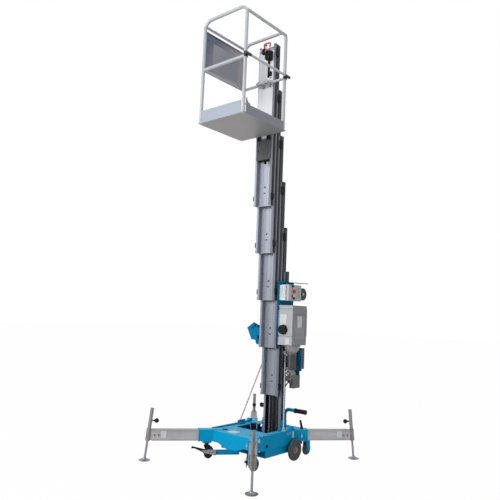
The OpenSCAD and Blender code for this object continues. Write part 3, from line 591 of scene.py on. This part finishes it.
def dress_base():
    dress(blue_paint("base_blue", BLUE), "base_frame", "base_keel", "push_handle")
    dress(blue_paint("bracket_blue", (0.0, 0.20, 0.42), 0.0), "mast_brackets")
    dress(mast_alloy("foot_alloy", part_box("base_column")[1][2], foot=True), "base_column")
    zinc = cast_steel("zinc_steel", (0.50, 0.50, 0.52), (0.34, 0.34, 0.36))
    dress(zinc, "mode_key", "lift_cylinder", "rail_clamps", *at_corners("lock_pin_"))
    rods = cast_steel("rod_zinc", (0.48, 0.50, 0.54), (0.38, 0.39, 0.43), 0.25, 0.45)
    dress(rods, "brace_rods")
    legs = cast_steel("leg_steel", (0.32, 0.32, 0.35), (0.15, 0.15, 0.17), rough=0.26)
    dress(legs, *at_corners("leg_"))
    dress(power_unit_finish("power_unit_metal"), "power_unit")
    dress(control_housing("control_grey"), "control_box")
    dress(grey_housing("charger_grey", (0.46, 0.465, 0.48)), "charger_box")
    forks = moulded_black("fork_black", (0.014, 0.014, 0.014), 0.38)
    dress(forks, "caster_fork_left", "caster_fork_right")
    for c, (sx, sy) in CORNERS.items():
        angle = -atan2(sy * sin(DIAGONAL), sx * cos(DIAGONAL))
        dress(beam_alloy("beam_alloy_" + c, angle), "outrigger_beam_" + c)


def dress_wheels():
    wheels = (
        ("side_wheel_", 0.036, (0.22, 0.22, 0.22), 1.0),
        ("rear_wheel_", 0.026, (0.10, 0.10, 0.10), 0.9),
        ("caster_wheel_", 0.026, (0.02, 0.02, 0.02), 0.35),
    )
    for side in ("left", "right"):
        for kind, hub_at, hub, tone in wheels:
            low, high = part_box(kind + side)
            centre = [(a + b) / 2 for a, b in zip(low, high)]
            tread = (high[2] - low[2]) / 2 - 0.004
            dress(tyre_rubber(kind + side, centre, hub_at, hub, tread, tone), kind + side)


def dress_mast_and_deck(black):
    for k in COLUMNS:
        column = "mast_column_%d" % k
        dress(mast_alloy("mast_alloy_%d" % k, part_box(column)[1][2]), column)
    dress(carriage_alloy("carriage_alloy"), "carriage")
    dress(black, "carriage_fittings", "charger_knob", "handle_grips", "socket_lever")
    dress(black, "platform_controls", "brake_pedal_left", "brake_pedal_right")
    dress(black, *at_corners("leg_knob_"), *["column_caps_%d" % k for k in COLUMNS])
    dress(rail_alloy("rail_tube"), "guard_rails")
    dress(entry_tube("entry_tube"), "entry_rail")
    dress(panel_sheet("panel_sheet"), "side_panel")
    dress(deck_sheet("deck_sheet"), "platform_floor")
    dress(red_plastic("signal_red"), "emergency_stop", "control_lever")


# Small pieces added to the CAD forms


class Shape:
    """A mesh put together from boxes, discs and tubes, in the row frame, in metres."""

    def __init__(self):
        self.bm = bmesh.new()

    def box(self, low, high):
        made = bmesh.ops.create_cube(self.bm, size=1.0)["verts"]
        size = [b - a for a, b in zip(low, high)]
        middle = [(a + b) / 2 for a, b in zip(low, high)]
        bmesh.ops.scale(self.bm, vec=size, verts=made)
        bmesh.ops.translate(self.bm, vec=middle, verts=made)
        return self

    def disc(self, start, end, radius, sides=24):
        """Round (or, with six sides, hexagonal) bar from start to end."""
        a, b = Vector(start), Vector(end)
        size = {"radius1": radius, "radius2": radius, "depth": (b - a).length}
        made = bmesh.ops.create_cone(self.bm, cap_ends=True, segments=sides, **size)["verts"]
        turn = (b - a).to_track_quat("Z", "Y").to_matrix().to_4x4()
        place = Matrix.Translation((a + b) / 2) @ turn
        bmesh.ops.transform(self.bm, matrix=place, verts=made)
        return self

    def bolt(self, at, out, size):
        """Hexagon head on a washer, standing out of a face at the given place."""
        at, out = Vector(at), Vector(out).normalized()
        self.disc(at - out * 0.001, at + out * 0.0015, size * 1.5, 20)
        self.disc(at, at + out * size * 0.8, size, 6)
        return self

    def tube(self, points, radius, sides=10):
        """Round hose or wire through the points."""
        path = [Vector(p) for p in points]
        angles = [2 * pi * k / sides for k in range(sides)]
        rings = []
        across = None
        for i, p in enumerate(path):
            ahead = path[min(i + 1, len(path) - 1)] - path[max(i - 1, 0)]
            ahead.normalize()
            if across is None:
                across = ahead.orthogonal().normalized()
            across = (across - ahead * across.dot(ahead)).normalized()
            up = ahead.cross(across)
            ring = [p + (across * cos(a) + up * sin(a)) * radius for a in angles]
            rings.append([self.bm.verts.new(v) for v in ring])
        for lower, upper in zip(rings, rings[1:]):
            for k in range(sides):
                n = (k + 1) % sides
                self.bm.faces.new((lower[k], lower[n], upper[n], upper[k]))
        self.bm.faces.new(list(reversed(rings[0])))
        self.bm.faces.new(rings[-1])
        return self

    def plate(self, outline, thick):
        """Flat plate between the outline and the same outline moved by thick."""
        near = [self.bm.verts.new(p) for p in outline]
        far = [self.bm.verts.new(p + thick) for p in outline]
        self.bm.faces.new(near)
        self.bm.faces.new(list(reversed(far)))
        for k in range(len(near)):
            self.bm.faces.new((near[k - 1], near[k], far[k], far[k - 1]))
        return self

    def placed(self, at, turn):
        """Turns everything made so far about Z and moves it to its place."""
        place = Matrix.Translation(at) @ Matrix.Rotation(turn, 4, "Z")
        bmesh.ops.transform(self.bm, matrix=place, verts=self.bm.verts)
        return self

    def done(self, name, body, finish, slot, bevel=0.0):
        bmesh.ops.recalc_face_normals(self.bm, faces=self.bm.faces)
        mesh = bpy.data.meshes.new(name)
        self.bm.to_mesh(mesh)
        self.bm.free()
        mesh.materials.append(finish)
        for face in mesh.polygons:
            face.use_smooth = len(face.vertices) == 4
        mesh.set_sharp_from_angle(angle=radians(35))
        piece = bpy.data.objects.new(name, mesh)
        bpy.context.collection.objects.link(piece)
        if bevel:
            edge = piece.modifiers.new("edge", "BEVEL")
            edge.width = bevel
            edge.segments = 2
        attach(piece, body)


def curve_through(points, steps=8):
    """Smooth run of points through the given ones."""
    path = [Vector(p) for p in points]
    path = [path[0] * 2 - path[1]] + path + [path[-1] * 2 - path[-2]]
    run = []
    for a, b, c, d in zip(path, path[1:], path[2:], path[3:]):
        for i in range(steps):
            t = i / steps
            first = (c - a) * t
            second = (2 * a - 5 * b + 4 * c - d) * t * t
            third = (3 * b - a - 3 * c + d) * t**3
            run.append(0.5 * (2 * b + first + second + third))
    run.append(path[-2])
    return run


def add_control_details(black, steel):
    """Yellow backing of the stop button, switch knobs and bare label places on the controls."""
    yellow = plain_plate("stop_yellow", (0.75, 0.50, 0.02))
    white = plain_plate("label_white", (0.66, 0.67, 0.68))
    pale = plain_plate("label_grey", (0.66, 0.67, 0.69))
    backing = Shape().box((0.2479, 0.272, 1.738), (0.2487, 0.328, 1.790))
    backing.done("stop_backing", "base", yellow, "housing_plastic")
    knobs = Shape()
    for y, z in ((0.275, 1.818), (0.300, 1.690)):
        knobs.disc((0.2455, y, z), (0.256, y, z), 0.013).disc((0.256, y, z), (0.264, y, z), 0.009)
    knobs.done("switch_knobs", "base", black, "black_plastic", bevel=0.001)
    places = Shape().box((0.150, 0.1882, 1.690), (0.196, 0.1894, 1.802))
    places.box((0.156, 0.1868, 1.395), (0.244, 0.1892, 1.512))
    places.box((0.232, 0.1888, 1.200), (0.284, 0.1904, 1.258))
    places.done("front_label_places", "base", white, "housing_plastic")
    label = Shape().box((CHARGER_SIDE, 0.282, 1.350), (0.3180, 0.374, 1.498))
    label.done("side_label_place", "base", pale, "housing_plastic")
    rims = Shape()
    for z in (1.346, 1.499):
        rims.box((CHARGER_SIDE, 0.278, z), (0.3186, 0.378, z + 0.003))
    for y in (0.278, 0.375):
        rims.box((CHARGER_SIDE, y, 1.346), (0.3186, y + 0.003, 1.502))
    rims.box((CHARGER_SIDE, 0.300, 1.268), (0.3182, 0.352, 1.300))
    rims.box((CHARGER_SIDE, 0.372, 1.262), (0.3182, 0.412, 1.286))
    rims.done("side_label_rim", "base", black, "black_plastic")
    latches = Shape()
    for z in (1.558, 1.270):
        latches.box((0.137, 0.1865, z), (0.147, 0.1905, z + 0.024))
    latches.done("front_latches", "base", black, "black_plastic", bevel=0.001)
    screws = Shape()
    for z in (1.222, 1.590):
        for y in (0.214, 0.430):
            screws.bolt((CHARGER_SIDE + 0.0002, y, z), (1, 0, 0), 0.005)
    for z in (1.672, 1.823):
        for y in (0.232, 0.432):
            screws.bolt((CONTROL_SIDE, y, z), (1, 0, 0), 0.004)
    screws.done("housing_screws", "base", steel, "steel")
    lamps = Shape()
    for y in (0.372, 0.392, 0.412):
        lamps.disc((CHARGER_SIDE, y, 1.318), (0.3192, y, 1.318), 0.0055)
    lamps.done("charge_lamps", "base", red_plastic("lamp_red"), "red_plastic")


def add_hydraulic_details(black, steel):
    """Hoses between the pump, the tank and the lift cylinder, with their unions."""
    routes = (
        (
            0.0062,
            (0.190, 0.300, 0.938),
            (0.186, 0.292, 0.985),
            (0.168, 0.302, 1.030),
            (0.160, 0.345, 1.048),
        ),
        (
            0.0060,
            (0.166, 0.300, 0.898),
            (0.170, 0.306, 0.930),
            (0.176, 0.312, 0.975),
            (0.178, 0.330, 1.010),
        ),
        (
            0.0065,
            (0.230, 0.302, 0.820),
            (0.222, 0.280, 0.790),
            (0.180, 0.285, 0.740),
            (0.140, 0.330, 0.700),
            (0.128, 0.352, 0.640),
        ),
    )
    hoses = Shape()
    for radius, *points in routes:
        hoses.tube(curve_through(points), radius)
    hoses.done("hydraulic_hoses", "base", black, "black_plastic")
    unions = Shape()
    for x, y, z in ((0.190, 0.300, 0.926), (0.166, 0.300, 0.884)):
        unions.disc((x, y, z), (x, y, z + 0.018), 0.0095, 6)
    unions.disc((0.230, 0.316, 0.820), (0.230, 0.298, 0.820), 0.0105, 6)
    unions.disc((0.214, 0.300, 0.882), (0.214, 0.286, 0.882), 0.009, 6)
    for angle in range(0, 360, 60):
        a = radians(angle)
        at = (PUMP_AXIS[0] + 0.080 * cos(a), PUMP_AXIS[1] + 0.080 * sin(a), 1.1722)
        unions.bolt(at, (0, 0, -1), 0.005)
    unions.done("hose_unions", "base", steel, "steel")
    tag = Shape().box((0.178, 0.3085, 0.900), (0.187, 0.3115, 0.975))
    tag.done("red_tag", "base", red_plastic("tag_red"), "red_plastic")
    clamps = Shape().box((-0.302, 0.3175, 1.380), (-0.268, LEFT_BRACKET, 1.394))
    clamps.box((-0.262, 0.3165, 1.352), (-0.240, LEFT_BRACKET, 1.378))
    clamps.box((-0.258, 0.3165, 1.226), (-0.240, LEFT_BRACKET, 1.262))
    for x, z, radius in ((-0.330, 1.345, 0.011), (-0.300, 1.370, 0.010)):
        clamps.disc((x, LEFT_BRACKET, z), (x, 0.3160, z), radius)
    clamps.done("bracket_clamps", "base", black, "black_plastic", bevel=0.001)


def add_column_details(k, black, brass):
    """Side bolts of one column, the first of which is fixed, and a moving one's roller housing."""
    fixed = k == 1
    body = "base" if fixed else "column_%d" % k
    front = COLUMN_FRONT - COLUMN_PITCH * (k - 1)
    foot = 0.140 if fixed else 0.115 + COLUMN_RISE * (k - 1)
    bolts = Shape()
    for z in (0.66, 0.97, 1.30) if fixed else (0.30, 0.75, 1.20, 1.62):
        for s in (1, -1):
            bolts.bolt((s * (COLUMN_SIDE - 0.0003), front + 0.0535, foot + z), (s, 0, 0), 0.0045)
    bolts.done("side_bolts_%d" % k, body, brass, "steel")
    if fixed:
        return
    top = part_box("mast_column_%d" % k)[1][2]
    cover, roller_end = 0.1262, 0.1285
    low = (COLUMN_SIDE, front + 0.006, top - 0.148)
    housing = Shape().box(low, (cover, front + 0.056, top - 0.056))
    for z in (top - 0.120, top - 0.082):
        housing.disc((cover, front + 0.030, z), (roller_end, front + 0.030, z), 0.019)
    housing.done("roller_housing_%d" % k, body, black, "black_plastic", bevel=0.003)


def add_mast_details(black):
    brass = cast_steel("bolt_brass", (0.26, 0.17, 0.11), (0.18, 0.12, 0.08), metallic=0.5)
    for k in (1, *COLUMNS):
        add_column_details(k, black, brass)


def add_outrigger_details(white):
    """Bolts, a bare label place and, at each beam's inner end, a dark navy plate that stands in
    for the shade inside the hollow beam.
    """
    hollow_shade = moulded_black("beam_hollow_shade", (0.004, 0.030, 0.062))
    brown = cast_steel("bolt_brown", (0.24, 0.15, 0.10), (0.16, 0.11, 0.08), metallic=0.4)
    for c, (sx, sy) in CORNERS.items():
        body = "outrigger_" + c
        across = Vector((-sy * sin(DIAGONAL), sx * cos(DIAGONAL), 0.0))
        along = Vector((sx * cos(DIAGONAL), sy * sin(DIAGONAL), 0.0))
        turn = atan2(along.y, along.x)
        up = Vector((0, 0, BEAM_MID))
        bolts = Shape()
        for r in (0.975, 1.020):
            for side in (-1, 1):
                at = along * r + across * side * (BEAM_SIDE + 0.0001) + up
                bolts.bolt(at, across * side, 0.0055)
        bolts.done("beam_bolts_" + c, body, brown, "steel")
        side = -1 if across.y > 0 else 1
        face = along * 0.930 + across * side * BEAM_SIDE
        plate = Shape().box((-0.028, -0.0008, 0.226), (0.028, 0.0008, 0.294)).placed(face, turn)
        plate.done("beam_label_place_" + c, body, white, "steel")
        # painted shade: a dark navy plate put where the hollow inside of the beam is in shade
        cap = Shape().box((-0.002, -0.0295, 0.205), (0.002, 0.0295, 0.299))
        cap.placed(along * 0.340, turn)
        cap.done("beam_hollow_shade_plate_" + c, body, hollow_shade, "black_plastic")


def add_brake_plates():
    """Steel plate on the outer side of each brake pedal, which moves with it."""
    bare = cast_steel("plate_steel", (0.33, 0.32, 0.33), (0.23, 0.225, 0.23), 0.4, 0.4)
    outline = ((0.395, 0.058), (0.395, 0.117), (0.545, 0.109), (0.515, 0.084))
    for side, sx in (("left", -1), ("right", 1)):
        along = Vector((sx * cos(DIAGONAL), -sin(DIAGONAL), 0.0))
        out = Vector((-sx * sin(DIAGONAL), -cos(DIAGONAL), 0.0))
        corners = [along * r + out * PEDAL_SIDE + Vector((0, 0, z)) for r, z in outline]
        plate = Shape().plate(corners, out * 0.003)
        plate.done("brake_plate_" + side, "brake_" + side, bare, "steel")


def add_base_details(steel, black):
    """Bolts, bare label places, the brake plates and the knob in the mast well."""
    white = plain_plate("sticker_white", (0.62, 0.64, 0.66))
    label = Shape().box((-0.104, -0.300, DECK_TOP - 0.0002), (0.000, -0.205, DECK_TOP + 0.0006))
    label.done("deck_label_place", "base", white, "base_paint")
    places = Shape()
    for y, z, width, height in ((0.262, 0.232, 0.030, 0.066), (-0.300, 0.262, 0.028, 0.038)):
        low = (SIDE_PLATE - 0.0002, y, z)
        places.box(low, (SIDE_PLATE + 0.0006, y + width, z + height))
    places.done("side_label_places", "base", white, "base_paint")
    bolts = Shape()
    for s in (-1, 1):
        for y, z in ((-0.283, 0.182), (0.180, 0.286), (0.220, 0.286)):
            bolts.bolt((s * SIDE_PLATE, y, z), (s, 0, 0), 0.006)
        for z in (0.280, 0.150):
            bolts.bolt((s * 0.222, 0.480, z), (0, 1, 0), 0.007)
        bolts.bolt((s * 0.280, -0.020, DECK_TOP), (0, 0, 1), 0.006)
    bolts.done("base_bolts", "base", steel, "steel")
    add_outrigger_details(white)
    add_brake_plates()
    knob = Shape().disc((-0.2462, 0.386, 0.262), (-0.229, 0.386, 0.262), 0.017)
    knob.done("well_knob", "base", black, "black_plastic", bevel=0.002)
    collar = Shape().disc((-0.230, 0.386, 0.262), (-0.223, 0.386, 0.262), 0.011)
    collar.done("well_knob_face", "base", red_plastic("collar_red"), "red_plastic")


def add_deck_details(steel):
    """Bare label places, the guard round the deck's lever, and bolts round the deck."""
    sheet = plain_plate("panel_label_place", (0.34, 0.35, 0.39), 0.1, 0.3)
    white = plain_plate("carriage_white", (0.62, 0.63, 0.65))
    low = (PANEL_INNER - 0.0001, -0.575, 4.095)
    document = Shape().box(low, (PANEL_INNER + 0.0012, -0.165, 4.400))
    document.done("panel_document_place", "deck", sheet, "deck_alloy")
    label = Shape().box((-0.075, -0.0094, 4.115), (0.010, -0.0080, 4.330))
    label.done("carriage_label_place", "deck", white, "deck_alloy")
    bend = ((-0.020, 4.478), (-0.026, 4.532), (0.012, 4.540), (0.058, 4.530), (0.052, 4.486))
    guard = Shape().tube(curve_through([(x, -0.03, z) for x, z in bend]), 0.0085)
    guard.done("lever_guard", "deck", red_plastic("guard_red"), "red_plastic")
    bolts = Shape()
    for s in (-1, 1):
        for y in (-0.650, -0.520, -0.390, -0.260, -0.120):
            bolts.bolt((s * TOE_SIDE, y, 3.482), (s, 0, 0), 0.005)
        for z in (3.500, 3.560):
            bolts.bolt((s * 0.272, TOE_FRONT, z), (0, -1, 0), 0.005)
        for z in (4.125, 4.400):
            for y in (-0.655, -0.105):
                bolts.bolt((PANEL_INNER, y, z), (1, 0, 0), 0.004)
    bolts.done("deck_bolts", "deck", steel, "steel")


def dress_and_detail():
    black = moulded_black("black_plastic")
    steel = cast_steel("bolt_steel", (0.46, 0.46, 0.48), (0.30, 0.30, 0.32))
    dress_base()
    dress_wheels()
    dress_mast_and_deck(black)
    add_control_details(black, steel)
    add_hydraulic_details(black, steel)
    add_mast_details(black)
    add_base_details(steel, black)
    add_deck_details(steel)


dress_and_detail()


# Stage, light and camera


def seen_straight(f):
    """One for rays from the camera, off a reflection or through glass, nought for the rest."""
    camera = f.node("ShaderNodeLightPath", out="Is Camera Ray")
    rays = camera.socket.node.outputs
    glossy, through = (Value(f, rays[name]) for name in ("Is Glossy Ray", "Is Transmission Ray"))
    return camera.atop(glossy).atop(through)


def pale_surface(name, shade, share):
    """White where the camera or a reflection looks straight at it, keeping a soft shadow."""
    f = Finish(name)
    diffuse = f.node("ShaderNodeBsdfDiffuse", None, {"Color": (shade, shade, shade, 1.0)})
    glow = f.node("ShaderNodeEmission", None, {"Color": (*WHITE, 1.0), "Strength": 1.0})
    inputs = {0: seen_straight(f) * share, 1: diffuse, 2: glow}
    return f.end(f.node("ShaderNodeMixShader", None, inputs))


def make_floor():
    """Lies below the lowest place that a screwed-down foot pad reaches, so that it hides none."""
    mesh = bpy.data.meshes.new("floor")
    half, level = 40.0, -0.062
    square = ((-half, -half), (half, -half), (half, half), (-half, half))
    mesh.from_pydata([(x, y, level) for x, y in square], [], [(0, 1, 2, 3)])
    floor = bpy.data.objects.new("floor", mesh)
    bpy.context.collection.objects.link(floor)
    floor.data.materials.append(pale_surface("pale_floor", 0.80, 0.985))


def make_world():
    """White where it is seen straight, and a soft cool light for everything else."""
    world = bpy.data.worlds.new("studio")
    bpy.context.scene.world = world
    f = Finish("studio", world)
    cool = (0.95, 0.97, 1.0, 1.0)
    soft = f.node("ShaderNodeBackground", None, {"Color": cool, "Strength": 0.38})
    white = f.node("ShaderNodeBackground", None, {"Color": (*WHITE, 1.0), "Strength": 1.0})
    inputs = {0: seen_straight(f), 1: soft, 2: white}
    f.end(f.node("ShaderNodeMixShader", None, inputs), "ShaderNodeOutputWorld")


def softbox(name, place, aim, size, power):
    """Area lamp at a place, aimed at a point, sizes in metres and power in watts."""
    lamp = bpy.data.lights.new(name, "AREA")
    lamp.shape = "RECTANGLE"
    lamp.size, lamp.size_y = size
    lamp.energy = power
    holder = bpy.data.objects.new(name, lamp)
    bpy.context.collection.objects.link(holder)
    holder.location = place
    holder.rotation_euler = (Vector(aim) - Vector(place)).to_track_quat("-Z", "Y").to_euler()
    holder.visible_camera = False


def make_lights():
    mast = (0.0, 0.0, 2.0)
    softbox("key_light", (-2.2, -10.8, 4.4), mast, (4.0, 5.0), 700.0)
    softbox("fill_light", (7.0, -3.0, 3.5), mast, (4.0, 5.0), 40.0)
    softbox("top_light", (0.0, 1.0, 9.5), (0.0, 0.0, 0.0), (6.0, 6.0), 230.0)


def make_camera():
    """The photograph's viewpoint, from a fit to the machine's corners."""
    yaw, pitch, roll = radians(40.405), radians(6.476), radians(2.265)
    forward = Vector((-sin(yaw) * cos(pitch), cos(yaw) * cos(pitch), sin(pitch)))
    level = forward.cross(Vector((0, 0, 1))).normalized()
    upright = level.cross(forward)
    right = level * cos(roll) + upright * sin(roll)
    up = upright * cos(roll) - level * sin(roll)
    lens = bpy.data.cameras.new("camera")
    lens.sensor_width = 36.0
    lens.lens = 39.385
    camera = bpy.data.objects.new("camera", lens)
    turn = Matrix((right, up, -forward)).transposed().to_4x4()
    camera.matrix_world = Matrix.Translation((3.741, -4.567, 1.521)) @ turn
    bpy.context.collection.objects.link(camera)
    bpy.context.scene.camera = camera


make_floor()
make_world()
make_lights()
make_camera()
bpy.context.scene.view_settings.view_transform = "Standard"
